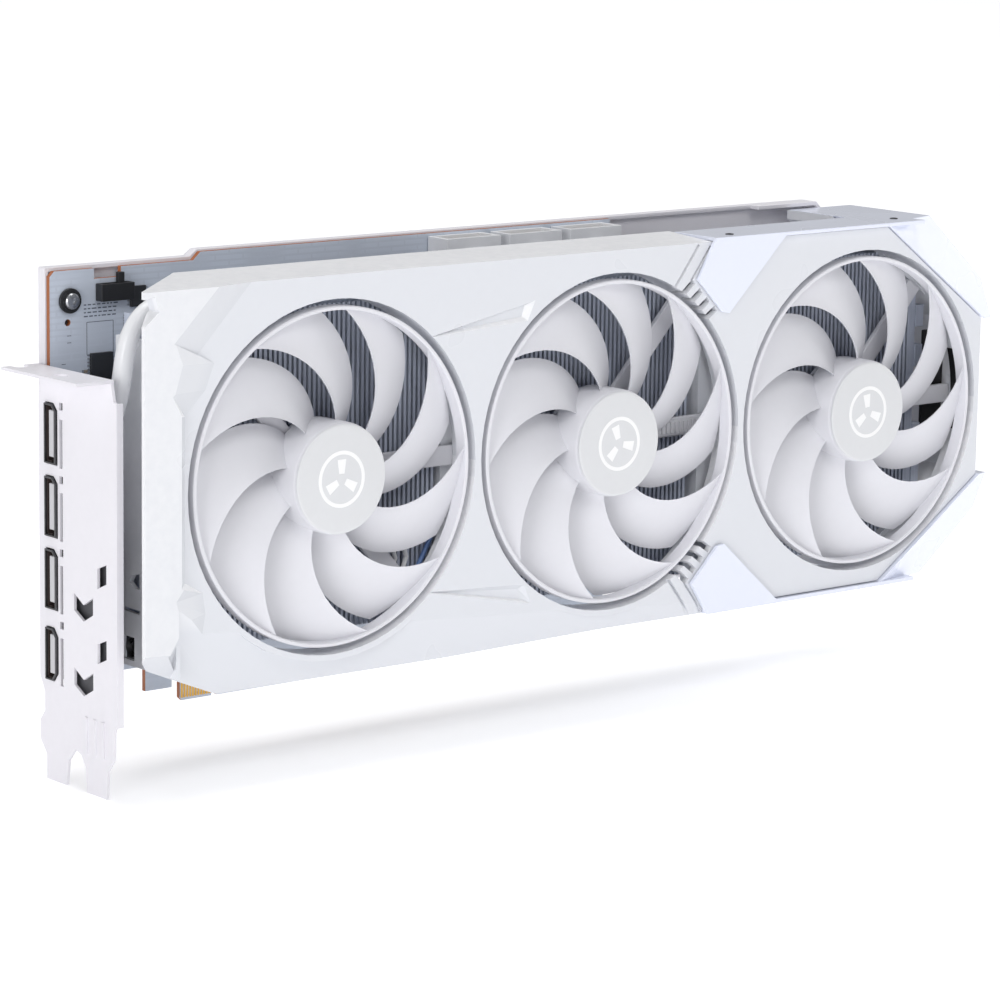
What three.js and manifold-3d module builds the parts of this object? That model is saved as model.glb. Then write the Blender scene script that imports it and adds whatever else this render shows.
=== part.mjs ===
// Three-fan graphics card with a dual-slot bracket, in millimetres, +Z up.
// +X runs along the card from the bracket to the tail, and -Y is the side that the fans face.
// Pieces are drawn about the middle fan's centre in the plane of the fan openings. The last group
// moves the whole card so that its origin is under the bracket's screw flange.
import * as THREE from 'three';
import { mergeVertices } from 'three/addons/utils/BufferGeometryUtils.js';
import Module from 'manifold-3d';

const wasm = await Module();
wasm.setup();

// ---- Driving dimensions ----
const FAN_PITCH = 105.4;
const OPENING_R = 51.6;
const GAP = 0.3;

const SHROUD = {
  left: -173, right: 159, top: 59.8, bottom: -57.8, front_top: 58.3,
  strip_y: -2.4, face_y: 0, skin: 2.4, back_y: 20, tail_back_y: 44,
};
const CORNER = { x: 112.5, end_z: 25.7 };
const ACCENT = { left: 39.2, right: 163.5, front_y: -1.5, thick: 1.2, wall: 1.8, back_y: 18 };
const ROTOR = {
  ring_r: 49.4, ring_wall: 1.2, ring_front: 0.3, ring_back: 4.8,
  hub_r: 16.4, hub_wall: 1.3, hub_front: -2, hub_back: 10.2, blades: 9, first_blade: 84.8,
};
const FRAME = { front: 11, back: 12.6, mount_r: 16, strut_reach: 52.4, strut_width: 6 };
// For each fan, how far its blades are turned at rest and where its struts stand, in degrees.
const TURNED = { 1: 0, 2: 18, 3: 7 };
const STRUTS = { 1: [0, 132, 180, 312], 2: [0, 48, 180, 228], 3: [0, 48, 180, 228] };
const FINS = { front: 14.5, root: 30.5, back: 32, half_height: 48, pitch: 2.2, thick: 0.45 };
const STACKS = [[-157, -57.5], [-49, 45.5], [54, 142]];
const PIPE = { r: 2.8, y: 35.2 };
const BOARD = { front: 46.2, back: 47.8, left: -171.9, right: 37.5, bottom: -62.6, top: 61.2 };
const BACKPLATE = {
  rim: 48.1, front: 49.9, back: 51.5, left: -172.4, right: 152, top: 61.8, bottom: -58.5,
};
const BRACKET = { x: -173.65, thick: 0.9, front_y: 11.3, back_y: 49.6, top: 32.4, tab_end: -87.6 };
const FLANGE = {
  reach: 11.4, front_y: 13, back_y: 51.2, screw_pitch: 20.32, screw_edge: 2, screw_r: 2.2, screw_x: 6,
};
const PORT = { y: 43.1, depth: 11.9, proud: 0.75, tongue_inset: 5, wall: 0.5 };
const CHIP = { x: -62, z: 0 };

// ---- Materials ----
const material = (color, roughness, metalness) =>
  new THREE.MeshStandardMaterial({ color, roughness, metalness });
const whitePlastic = material(0xeceef2, 0.35, 0);
const accentPlastic = material(0xdfe3f5, 0.3, 0.2);
const fanPlastic = material(0xe6e6ea, 0.4, 0);
const badgePlastic = material(0xd2d4d8, 0.35, 0.1);
const whiteMetal = material(0xf0eff3, 0.45, 0.1);
const finMetal = material(0x55606e, 0.4, 0.8);
const copper = material(0xb87348, 0.3, 1);
const bronze = material(0xa9824c, 0.4, 1);
const steel = material(0xb9bcc0, 0.3, 1);
const magnetBlack = material(0x26282b, 0.6, 0.2);
const boardBlue = material(0xaab6c8, 0.5, 0);
const blackPlastic = material(0x17181a, 0.45, 0);
const silicon = material(0x3c4650, 0.15, 0.4);

// ---- Solids ----
const bareCorners = (geometry) => {
  const bare = geometry.index ? geometry.toNonIndexed() : geometry.clone();
  bare.deleteAttribute('normal');
  bare.deleteAttribute('uv');
  return bare;
};

// A geometry whose faces all point in, turned the right way out.
function turnedOut(geometry) {
  const position = geometry.attributes.position;
  const second = new THREE.Vector3();
  const third = new THREE.Vector3();
  for (let i = 0; i < position.count; i += 3) {
    second.fromBufferAttribute(position, i + 1);
    third.fromBufferAttribute(position, i + 2);
    position.setXYZ(i + 1, third.x, third.y, third.z);
    position.setXYZ(i + 2, second.x, second.y, second.z);
  }
  return geometry;
}

// Six times the signed volume, negative where the faces point in.
function signedVolume(geometry) {
  const position = geometry.attributes.position;
  const [a, b, c] = [new THREE.Vector3(), new THREE.Vector3(), new THREE.Vector3()];
  let sum = 0;
  for (let i = 0; i < position.count; i += 3) {
    a.fromBufferAttribute(position, i);
    b.fromBufferAttribute(position, i + 1);
    c.fromBufferAttribute(position, i + 2);
    sum += a.dot(b.cross(c));
  }
  return sum;
}

function solidOf(geometry) {
  const bare = bareCorners(geometry);
  const merged = mergeVertices(signedVolume(bare) < 0 ? turnedOut(bare) : bare, 1e-4);
  return new wasm.Manifold(new wasm.Mesh({
    numProp: 3,
    vertProperties: new Float32Array(merged.attributes.position.array),
    triVerts: new Uint32Array(merged.index.array),
  }));
}

function geometryOf(solid) {
  const mesh = solid.getMesh();
  const geometry = new THREE.BufferGeometry();
  geometry.setAttribute('position', new THREE.BufferAttribute(mesh.vertProperties, 3));
  geometry.setIndex(new THREE.BufferAttribute(mesh.triVerts, 1));
  return geometry;
}

const union = (...solids) => solids.reduce((sum, next) => sum.add(next));
const cut = (solid, ...tools) => tools.reduce((left, tool) => left.subtract(tool), solid);

const shapeOf = (points) => new THREE.Shape(points.map(([a, b]) => new THREE.Vector2(a, b)));
const extruded = (points, depth) =>
  new THREE.ExtrudeGeometry(shapeOf(points), { depth, bevelEnabled: false });

// Outline in X and Z, filled from y0 to y1.
const prismY = (points, y0, y1) =>
  solidOf(extruded(points, y1 - y0).rotateX(Math.PI / 2).translate(0, y1, 0));

// Outline in Y and Z, filled from x0 to x1.
function prismX(points, x0, x1) {
  const turn = new THREE.Matrix4().makeBasis(
    new THREE.Vector3(0, 1, 0), new THREE.Vector3(0, 0, 1), new THREE.Vector3(1, 0, 0));
  return solidOf(extruded(points, x1 - x0).applyMatrix4(turn).translate(x0, 0, 0));
}

// Outline in X and Y, filled from z0 to z1.
const prismZ = (points, z0, z1) => solidOf(extruded(points, z1 - z0).translate(0, 0, z0));

const box = ([x0, x1], [y0, y1], [z0, z1]) =>
  solidOf(new THREE.BoxGeometry(x1 - x0, y1 - y0, z1 - z0)
    .translate((x0 + x1) / 2, (y0 + y1) / 2, (z0 + z1) / 2));

// Round piece about an axis along Y through (x, z), from y0 to y1.
const discY = (x, z, radius, y0, y1, segments = 24) =>
  solidOf(new THREE.CylinderGeometry(radius, radius, y1 - y0, segments)
    .translate(x, (y0 + y1) / 2, z));

// Turned piece about an axis along Y through (x, z); its profile lists radius and Y.
function turned(profile, segments, x = 0, z = 0) {
  const points = profile.map(([radius, y]) => new THREE.Vector2(radius, y));
  points.push(points[0].clone());
  return solidOf(new THREE.LatheGeometry(points, segments).translate(x, 0, z));
}

// Solid between two outlines in X and Z with the same number of points, at y0 and at y1.
function loftY(front, back, y0, y1) {
  const count = front.length;
  const at = (list, i, y) => [list[i % count][0], y, list[i % count][1]];
  const cap = THREE.ShapeUtils.triangulateShape(front.map(([x, z]) => new THREE.Vector2(x, z)), []);
  const clockwise = THREE.ShapeUtils.isClockWise(front.map(([x, z]) => new THREE.Vector2(x, z)));
  const corners = [];
  for (const [a, b, c] of cap) {
    corners.push(at(front, a, y0), at(front, b, y0), at(front, c, y0));
    corners.push(at(back, a, y1), at(back, c, y1), at(back, b, y1));
  }
  for (let i = 0; i < count; i += 1) {
    const [j, k] = clockwise ? [i + 1, i] : [i, i + 1];
    corners.push(at(front, j, y0), at(back, j, y1), at(back, k, y1));
    corners.push(at(front, j, y0), at(back, k, y1), at(front, k, y0));
  }
  const geometry = new THREE.BufferGeometry();
  geometry.setAttribute('position', new THREE.Float32BufferAttribute(corners.flat(), 3));
  return solidOf(geometry);
}

// All space on one side of the plane through a point, the side that the normal points to.
function beyond(point, normal) {
  const size = 900;
  const turn = new THREE.Quaternion()
    .setFromUnitVectors(new THREE.Vector3(0, 0, 1), new THREE.Vector3(...normal).normalize());
  return solidOf(new THREE.BoxGeometry(size, size, size)
    .translate(0, 0, size / 2).applyQuaternion(turn).translate(...point));
}

const flipZ = (points) => points.map(([x, z]) => [x, -z]).reverse();
const shifted = (points, dx, dz) => points.map(([x, z]) => [x + dx, z + dz]);
const fanX = (number) => (number - 2) * FAN_PITCH;
const FANS = [1, 2, 3];

// A four-cornered bar from one point to another.
function bar([x0, z0], [x1, z1], width) {
  const length = Math.hypot(x1 - x0, z1 - z0);
  const [dx, dz] = [-(z1 - z0) * width / length / 2, (x1 - x0) * width / length / 2];
  return [[x0 - dx, z0 - dz], [x1 - dx, z1 - dz], [x1 + dx, z1 + dz], [x0 + dx, z0 + dz]];
}

// The outline with every edge moved out by a distance, or in by a negative one.
function grown(points, by) {
  const corners = points.map(([a, b]) => new THREE.Vector2(a, b));
  const side = THREE.ShapeUtils.isClockWise(corners) ? -by : by;
  const out = (from, to) => new THREE.Vector2(to.y - from.y, from.x - to.x).normalize();
  return corners.map((corner, i) => {
    const before = out(corners.at(i - 1), corner);
    const after = out(corner, corners[(i + 1) % corners.length]);
    const reach = side / (1 + before.dot(after));
    return [corner.x + (before.x + after.x) * reach, corner.y + (before.y + after.y) * reach];
  });
}

// ---- Shroud ----
// Outline of the front: chamfered at the bracket's foot and at both tail corners.
const SHROUD_OUTLINE = [
  [SHROUD.left, -47], [-143, -59.3], [-60, -59.2], [0, SHROUD.bottom], [CORNER.x, SHROUD.bottom],
  [SHROUD.right, -CORNER.end_z], [SHROUD.right, CORNER.end_z], [CORNER.x, SHROUD.top],
  [SHROUD.left, SHROUD.top],
];

// What fits inside the shroud's walls.
const SHROUD_ROOM = grown(SHROUD_OUTLINE, -SHROUD.skin - GAP);

// The zigzag edge of the raised strip at the bracket end, and the foot of the facets below it.
const STRIP_EDGE = [
  [-145, 63], [-164.4, 44], [-161.8, 37.4], [-164.3, 29.5], [-161, 23], [-161, -25.5],
  [-163.8, -29], [-161.6, -35.5], [-161.6, -39], [-164.9, -44.4], [-148, -63],
];
const STRIP_FOOT = [
  [-131, 63], [-154.5, 38.8], [-148, 36.8], [-151, 29.5], [-158, 22.5], [-158, -24.5],
  [-152, -28], [-151, -34], [-152, -39.5], [-157, -45], [-143, -63],
];

// The space in front of the lower face, right of the strip.
function aboveLowerFace() {
  const past = 200;
  const closed = (edge) => [...edge, [past, -63], [past, 63]];
  return loftY(closed(STRIP_EDGE), closed(STRIP_FOOT), SHROUD.strip_y - GAP, SHROUD.face_y);
}

// Three points on each of the two bevels at the lower edge: under the face and under the strip.
const FACE_BEVEL = [[-161.6, 0, -39], [20, 0, -52.5], [-161.6, 6, -57.8]];
const STRIP_BEVEL = [[-173, -2.4, -43.3], [-166, -2.4, -43.7], [-162, 4.5, -52.3]];

// The space in front of a bevel; back_off moves the bevel into the shell.
function inFrontOf(bevel, back_off) {
  const [a, b, c] = bevel.map((point) => new THREE.Vector3(...point));
  const normal = new THREE.Vector3().crossVectors(b.sub(a), c.sub(a)).normalize();
  if (normal.y > 0) normal.negate();
  return beyond(a.addScaledVector(normal, -back_off).toArray(), normal.toArray());
}

// The space below both bevels, divided along the lower end of the strip's edge.
function belowBevels(back_off) {
  const stripZone = prismY([
    [-200, -30], [-161.6, -30], [-161.6, -39], [-164.9, -44.4], [-148, -63], [-148, -90], [-200, -90],
  ], -20, 60);
  return union(inFrontOf(FACE_BEVEL, back_off).subtract(stripZone),
    inFrontOf(STRIP_BEVEL, back_off).intersect(stripZone));
}

// The notch in the strip's upper corner that the first heat pipe shows through.
const pipeNotch = () => prismY([
  [-180, 55], [-169.6, 57], [-168.2, 52.7], [-173, 48.8], [-180, 45],
], SHROUD.strip_y - 1, 6);

// A wall beside the first fins, with a square hole, a slit and a wedge-shaped hole.
function sideWall() {
  const [x0, x1] = [-160.2, -158.8];
  const through = (points) => prismX(points, x0 - 1, x1 + 1);
  return cut(box([x0, x1], [1, FINS.root], [-52, 42]),
    through([[21.6, -50.4], [27.6, -50.4], [27.6, -43.6], [21.6, -43.6]]),
    through([[19, -36.6], [27.6, -36.3], [27.6, -35.2], [19, -35.4]]),
    through([[19, -29.3], [21.6, -29.3], [24, -27.9], [22.4, -25.6], [19, -24.7]]));
}

// Shallow three-cornered facets between the first and the middle fan, above and below.
function wedgeFacets() {
  const mouth = [[-75, 37.2], [-31, 46], [-34, 39.5]];
  const floor = [[-64, 38.7], [-35, 44.3], [-36, 41]];
  const depth = 1.2;
  return [loftY(mouth, floor, -GAP, depth), loftY(flipZ(mouth), flipZ(floor), -GAP, depth)];
}

// Four slots beside the middle fan, above and below, and the grooves along the slim trim bars.
function gillsAndGrooves() {
  const cuts = [];
  for (let i = 0; i < 4; i += 1) {
    const slot = bar([27.2 + 3.2 * i, 43.2 - 2.7 * i], [31.6 + 3.1 * i, 46.8 - 3 * i], 2.1);
    cuts.push(slot, flipZ(slot));
  }
  const grooves = [bar([23.6, 45], [33.5, 58], 1.1), bar([30.4, 47], [38.2, 57.2], 0.9)];
  cuts.push(...grooves, ...grooves.map(flipZ));
  const through = cuts.slice(0, 8).map((points) => prismY(points, -4, 6));
  const shallow = cuts.slice(8).map((points) => prismY(points, -4, 1.3));
  return [...through, ...shallow];
}

// Channel-shaped walls between the fin stacks, open towards the board.
function dividers() {
  const { skin, back_y, top } = SHROUD;
  const wall = 1.4;
  const front = FRAME.back + 2 * GAP;
  return [0, 1].map((i) => {
    const [x0, x1] = [STACKS[i][1] + 1, STACKS[i + 1][0] - 0.7];
    const reach = -SHROUD.bottom - skin / 2;
    return union(
      box([x0, x1], [front, FINS.root], [-FINS.half_height, FINS.half_height]),
      box([x0, x1], [front, back_y - 0.5], [-reach, reach]),
    ).subtract(box([x0 + wall, x1 - wall], [front + wall, 50], [-top, top]));
  });
}

function shroud() {
  const { skin, face_y, strip_y, back_y, tail_back_y, left } = SHROUD;
  const draft = beyond([0, strip_y, SHROUD.front_top], [0, -1.5, back_y - strip_y]);
  const slantEnd = beyond([left + 1, face_y, 0], [-0.64, 0.77, 0]);
  const body = union(
    prismY(SHROUD_OUTLINE, strip_y, back_y),
    prismY(SHROUD_OUTLINE, back_y - 1, tail_back_y).intersect(beyond([CORNER.x, 0, 0], [1, 0, 0])),
  );
  const cavity = cut(
    prismY(grown(SHROUD_OUTLINE, -skin), face_y + skin, tail_back_y + 1), belowBevels(skin));
  const rimRoom = prismY(SHROUD_OUTLINE, face_y, back_y);
  const rims = FANS.map((n) => discY(fanX(n), 0, OPENING_R + 1.8, face_y, FRAME.front - GAP, 40)
    .intersect(rimRoom));
  const openings = FANS.map((n) => discY(fanX(n), 0, OPENING_R, strip_y - 1, FRAME.front + 1, 64));
  const shell = cut(body, cavity, draft, belowBevels(0), slantEnd, aboveLowerFace(), pipeNotch());
  return cut(union(shell, sideWall(), ...rims, ...dividers()), ...openings, ...wedgeFacets(),
    ...gillsAndGrooves(), accentSeat(1), accentSeat(-1));
}

// ---- Corner accents at the tail ----
// side is 1 for the upper accent and -1 for the lower one.
const sided = (side, points) => (side > 0 ? points : flipZ(points));
const accentEdge = (side) => (side > 0 ? SHROUD.top : -SHROUD.bottom);

// Room for the accent's cap along the edge of the shroud.
function accentSeat(side) {
  const edge = accentEdge(side);
  const inner = edge - ACCENT.thick - GAP;
  return prismY(sided(side, [
    [ACCENT.left - GAP, inner], [180, inner], [180, edge + 5], [ACCENT.left - GAP, edge + 5],
  ]), -5, ACCENT.back_y + 5);
}

function cornerOutline(side) {
  const edge = accentEdge(side);
  return sided(side, [
    [CORNER.x + 2 * GAP, edge], [141, edge], [ACCENT.right, 38],
    [ACCENT.right, CORNER.end_z], [SHROUD.right + 2 * GAP, CORNER.end_z],
  ]);
}

// The plane that leans back from the seam with the shroud, moved inwards by inset.
function cornerSlope(side, inset) {
  const run = new THREE.Vector2(SHROUD.right - CORNER.x, SHROUD.front_top - CORNER.end_z);
  const out = new THREE.Vector2(run.y, run.x).normalize();
  const normal = new THREE.Vector3(out.x * 0.5, -1, out.y * 0.5 * side).normalize();
  const start = new THREE.Vector3(SHROUD.right, ACCENT.front_y, side * CORNER.end_z);
  return beyond(start.addScaledVector(normal, -inset).toArray(), normal.toArray());
}

function accent(side) {
  const edge = accentEdge(side);
  const wing = sided(side, [
    [ACCENT.left, edge], [32.2, 47.4], [42.8, 36.6], [45.6, 36.2], [70, edge],
  ]);
  const cap = sided(side, [
    [ACCENT.left, edge - ACCENT.thick], [130, edge - ACCENT.thick], [130, edge], [ACCENT.left, edge],
  ]);
  const hollow = cut(
    prismY(grown(cornerOutline(side), -ACCENT.wall), ACCENT.front_y, SHROUD.tail_back_y + 1),
    cornerSlope(side, ACCENT.wall));
  const corner = cut(prismY(cornerOutline(side), ACCENT.front_y, SHROUD.tail_back_y),
    cornerSlope(side, 0), hollow);
  const whole = union(
    prismY(wing, ACCENT.front_y, ACCENT.front_y + ACCENT.thick),
    prismY(cap, ACCENT.front_y, ACCENT.back_y),
    corner,
  );
  return cut(whole, ...[2, 3].map((n) => discY(fanX(n), 0, OPENING_R + 0.5, -5, 5, 48)));
}

// ---- Fans ----
// One blade: a thin curved sheet from the hub to the ring, its leading edge towards the front.
function blade(turn) {
  const [acrossSteps, outSteps] = [3, 4];
  const span = 33.5;
  const sweep = 41;
  const thick = 1.1;
  const [r0, r1] = [ROTOR.hub_r - 0.7, ROTOR.ring_r - 0.7];
  const point = (i, j, back) => {
    const out = i / outSteps;
    const across = j / acrossSteps;
    const r = r0 + (r1 - r0) * out;
    const lead = THREE.MathUtils.degToRad(turn + sweep * out ** 1.25 - span * across);
    const front = 0.5 + 0.9 * (1 - out);
    const depth = THREE.MathUtils.lerp(8, 6.6, out);
    const y = front + depth * across ** 0.8 + (back ? thick : 0);
    return [r * Math.cos(lead), y, r * Math.sin(lead)];
  };
  const corners = [];
  const quad = (a, b, c, d) => corners.push(a, b, c, a, c, d);
  for (let i = 0; i < outSteps; i += 1) {
    for (let j = 0; j < acrossSteps; j += 1) {
      const [p, q, r, s] = [[i, j], [i + 1, j], [i + 1, j + 1], [i, j + 1]];
      quad(point(...p, false), point(...q, false), point(...r, false), point(...s, false));
      quad(point(...p, true), point(...s, true), point(...r, true), point(...q, true));
    }
    quad(point(i, 0, false), point(i, 0, true), point(i + 1, 0, true), point(i + 1, 0, false));
    quad(point(i + 1, acrossSteps, false), point(i + 1, acrossSteps, true),
      point(i, acrossSteps, true), point(i, acrossSteps, false));
  }
  for (let j = 0; j < acrossSteps; j += 1) {
    quad(point(0, j + 1, false), point(0, j + 1, true), point(0, j, true), point(0, j, false));
    quad(point(outSteps, j, false), point(outSteps, j, true),
      point(outSteps, j + 1, true), point(outSteps, j + 1, false));
  }
  const geometry = new THREE.BufferGeometry();
  geometry.setAttribute('position', new THREE.Float32BufferAttribute(corners.flat(), 3));
  return solidOf(geometry);
}

function rotor(number) {
  const { ring_r, ring_wall, ring_front, ring_back, hub_r, hub_wall, hub_front, hub_back } = ROTOR;
  const ring = turned([
    [ring_r - ring_wall, ring_front], [ring_r, ring_front], [ring_r, ring_back],
    [ring_r - ring_wall, ring_back],
  ], 40);
  const hub = turned([
    [0, hub_front], [hub_r - 1, hub_front], [hub_r, hub_front + 1], [hub_r, hub_back],
    [hub_r - hub_wall, hub_back], [hub_r - hub_wall, hub_front + 1.6], [0, hub_front + 1.6],
  ], 32);
  const pitch = 360 / ROTOR.blades;
  const first = ROTOR.first_blade + TURNED[number];
  const blades = Array.from({ length: ROTOR.blades }, (_, i) => blade(first + i * pitch));
  return union(hub, ring, ...blades);
}

const badge = () => discY(0, 0, 15.9, -2.9, -2.3, 32);
const magnet = () => turned([[13.2, 2.5], [14.8, 2.5], [14.8, 9.6], [13.2, 9.6]], 20);
const shaft = () => discY(0, 0, 1.5, -0.1, 10.6, 12);
const bearing = () => turned([[1.65, 2], [3.2, 2], [3.2, 10.7], [1.65, 10.7]], 12);

// The stator: a ring round the bearing tube with nine wound poles.
function stator() {
  const poles = Array.from({ length: 9 }, (_, i) => {
    const angle = (i / 9) * 2 * Math.PI;
    const at = (r) => [r * Math.cos(angle), r * Math.sin(angle)];
    return prismY(bar(at(6), at(12.4), 3), 3.4, 9.2);
  });
  return cut(union(discY(0, 0, 8, 3.4, 9.2, 18), ...poles), discY(0, 0, 5.4, 0, 12, 12));
}

// The motor mount: a plate behind the hub, a bearing tube and four struts out to the shroud.
function fanFrame(number) {
  const { front, back, mount_r, strut_reach, strut_width } = FRAME;
  const struts = STRUTS[number].map((degrees) => {
    const angle = THREE.MathUtils.degToRad(degrees);
    const at = (r) => [r * Math.cos(angle), r * Math.sin(angle)];
    return prismY(bar(at(mount_r - 3), at(strut_reach), strut_width), front, back);
  });
  const tube = discY(0, 0, 5, 1.6, front + 0.5, 16);
  const room = prismY(shifted(SHROUD_ROOM, -fanX(number), 0), 0, back + 1);
  return cut(union(discY(0, 0, mount_r, front, back, 24), tube, ...struts),
    discY(0, 0, 3.5, 0, front, 12)).intersect(room);
}

// ---- Cooler ----
// A fin stack: a base plate and thin upright fins in front of it.
function finStack([x0, x1]) {
  const { front, root, back, half_height, pitch, thick } = FINS;
  const count = Math.floor((x1 - x0 - thick) / pitch);
  const points = [[x0, back], [x0 + count * pitch + thick, back]];
  for (let i = count; i >= 0; i -= 1) {
    const x = x0 + i * pitch;
    points.push([x + thick, i === count ? back - 0.1 : root], [x + thick, front]);
    points.push([x, front], [x, i === 0 ? back - 0.1 : root]);
  }
  const room = prismY(SHROUD_ROOM, front - 1, back + 1);
  return prismZ(points, -half_height, half_height).intersect(room);
}

function tube(points, radius, sides, steps) {
  const circle = Array.from({ length: sides }, (_, i) => {
    const angle = (i / sides) * 2 * Math.PI;
    return [radius * Math.cos(angle), radius * Math.sin(angle)];
  });
  const path = new THREE.CatmullRomCurve3(points.map((p) => new THREE.Vector3(...p)), false,
    'centripetal');
  return new THREE.ExtrudeGeometry(shapeOf(circle), { steps, extrudePath: path });
}

// The first heat pipe turns round the bracket end of the fins and comes back behind them.
const bentPipe = () => solidOf(tube([
  [-70, 17, 52.2], [-110, 17, 52.2], [-150, 17, 52.2], [-155.3, 17, 52.1], [-159.6, 17, 50.3],
  [-163.8, 17, 45.9], [-166.1, 17, 40.5], [-166.9, 17.3, 33.6], [-167.2, 18.6, 26.6],
  [-167, 22.4, 19.4], [-166.2, 28, 14], [-164.4, 33.3, 10.6], [-160, 35.4, 9.2], [-150, 35.3, 9],
  [-80, 35.3, 9], [0, 35.3, 9], [138, 35.3, 9],
], PIPE.r, 8, 70));

const straightPipe = (z) => solidOf(new THREE.CylinderGeometry(PIPE.r, PIPE.r, 290, 12)
  .rotateZ(Math.PI / 2).translate(-7, PIPE.y, z));

const coldPlate = () => box([CHIP.x - 34, CHIP.x + 34], [PIPE.y + PIPE.r + GAP, 43], [-36, 36]);
const gpuDie = () => box([CHIP.x - 11, CHIP.x + 11], [43.3, 44.5], [CHIP.z - 9, CHIP.z + 9]);
const gpuPackage = () => box([CHIP.x - 21, CHIP.x + 21], [44.6, 45.9], [CHIP.z - 21, CHIP.z + 21]);

// Four memory chips in a row above the processor and four below.
const MEMORY = Array.from({ length: 8 }, (_, i) => ({
  x: CHIP.x - 25.5 + 17 * (i % 4), z: i < 4 ? 37.5 : -37.5,
}));
const memoryChip = ({ x, z }) => box([x - 7, x + 7], [44.8, 45.9], [z - 6, z + 6]);

// ---- Board ----
const RETENTION = [[-1, -1], [1, -1], [1, 1], [-1, 1]].map(([i, j]) => [CHIP.x + i * 27, j * 27]);
const BOARD_SCREW = [-165.5, 50.3];
const SWITCH_NOTCH = { left: -156.9, right: -147.7, floor: 55.9 };
const FINGERS = {
  left: -127.2, key: -115.55, key_end: -113.65, right: -42, end: -71.3, bevel: 2, bevel_depth: 0.5,
};

function boardOutline() {
  const { left, right, bottom, top } = BOARD;
  const low = 58.9;
  const cornerBottom = -59.2;
  return [
    [left, cornerBottom], [-139.5, cornerBottom], [-139.5, -66.7], [-130.1, -66.7], [-130.1, bottom],
    [FINGERS.left, bottom], [FINGERS.left, FINGERS.end + 1], [FINGERS.left + 1, FINGERS.end],
    [FINGERS.key, FINGERS.end], [FINGERS.key, bottom], [FINGERS.key_end, bottom],
    [FINGERS.key_end, FINGERS.end], [FINGERS.right, FINGERS.end], [FINGERS.right, bottom],
    [FINGERS.right + 4, bottom], [FINGERS.right + 4, -70], [FINGERS.right + 11, -70],
    [FINGERS.right + 11, bottom], [right, bottom], [right, top], [-120, top], [-122.5, low],
    [SWITCH_NOTCH.right, low], [SWITCH_NOTCH.right, SWITCH_NOTCH.floor],
    [SWITCH_NOTCH.left, SWITCH_NOTCH.floor], [SWITCH_NOTCH.left, low], [left + 1.5, low],
    [left, low - 1.5],
  ];
}

function circuitBoard() {
  const { front, back } = BOARD;
  const holes = [...RETENTION, BOARD_SCREW].map(([x, z]) => discY(x, z, 1.8, front - 1, back + 1, 12));
  const bevel = beyond([0, front, FINGERS.end + FINGERS.bevel],
    [0, -FINGERS.bevel, -FINGERS.bevel_depth]);
  const smallHole = discY(-165.9, 44, 1, front - 1, back + 1, 12);
  return cut(prismY(boardOutline(), front, back), ...holes, smallHole, bevel);
}

// A screw along Y: head radius, where the head starts and ends, shank radius and where it ends.
const screw = ([x, z], head, from, to, shank, end) =>
  turned([[0, from], [head, from], [head, to], [shank, to], [shank, end], [0, end]], 12, x, z);

const retentionScrew = (place) => screw(place, 3, BACKPLATE.back, BACKPLATE.front, 1.4, 43.4);

function boardScrew() {
  const { front } = BOARD;
  return turned([
    [0, front - 2.6], [2.3, front - 2.6], [2.3, front - 1.2], [3.6, front - 1.2],
    [3.6, front - GAP], [1.3, front - GAP], [1.3, BACKPLATE.front - 0.6], [0, BACKPLATE.front - 0.6],
  ], 16, ...BOARD_SCREW);
}

// ---- Back ----
function backplateOutline() {
  const { left, right, top, bottom } = BACKPLATE;
  const low = top - 1.9;
  return [
    [left, bottom], [right - 26, bottom], [right, bottom + 24], [right, top - 26],
    [right - 26, top], [-120, top], [-122.5, low], [left, low],
  ];
}

// A slotted grille behind the tail fan, a window round the retention bracket and a rim.
function backplate() {
  const { rim, front, back } = BACKPLATE;
  const sheet = prismY(backplateOutline(), front, back);
  const inner = grown(backplateOutline(), -1.4);
  const edge = cut(prismY(backplateOutline(), rim, front + 0.1), prismY(inner, rim - 1, front));
  const tailEdge = cut(prismY(backplateOutline(), SHROUD.tail_back_y + GAP, front + 0.1),
    prismY(inner, 40, front)).intersect(beyond([100, 0, 0], [1, 0, 0]));
  const slots = [];
  for (let i = 0; i < 9; i += 1) {
    for (const side of [1, -1]) {
      const x = 68 + 8 * i;
      const slot = bar([x, side * 5], [x + 9, side * 40], 4.2);
      slots.push(prismY(slot, front - 1, back + 1));
    }
  }
  const window = prismY([
    [CHIP.x - 36, -25], [CHIP.x - 25, -36], [CHIP.x + 25, -36], [CHIP.x + 36, -25],
    [CHIP.x + 36, 25], [CHIP.x + 25, 36], [CHIP.x - 25, 36], [CHIP.x - 36, 25],
  ], front - 1, back + 1);
  return cut(union(sheet, edge, tailEdge), window, ...slots);
}

function retentionBracket() {
  const [front, back] = [BOARD.back + 0.5, BACKPLATE.front - GAP];
  const arms = [0, 1].map((i) => prismY(bar(RETENTION[i], RETENTION[i + 2], 8), front, back));
  const pads = RETENTION.map(([x, z]) => discY(x, z, 4.6, front, back, 12));
  const holes = RETENTION.map(([x, z]) => discY(x, z, 1.8, front - 1, back + 1, 8));
  return cut(union(...arms, ...pads, discY(CHIP.x, 0, 13, front, back, 16)), ...holes,
    discY(CHIP.x, 0, 8, front - 1, back + 1, 16));
}

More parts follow.
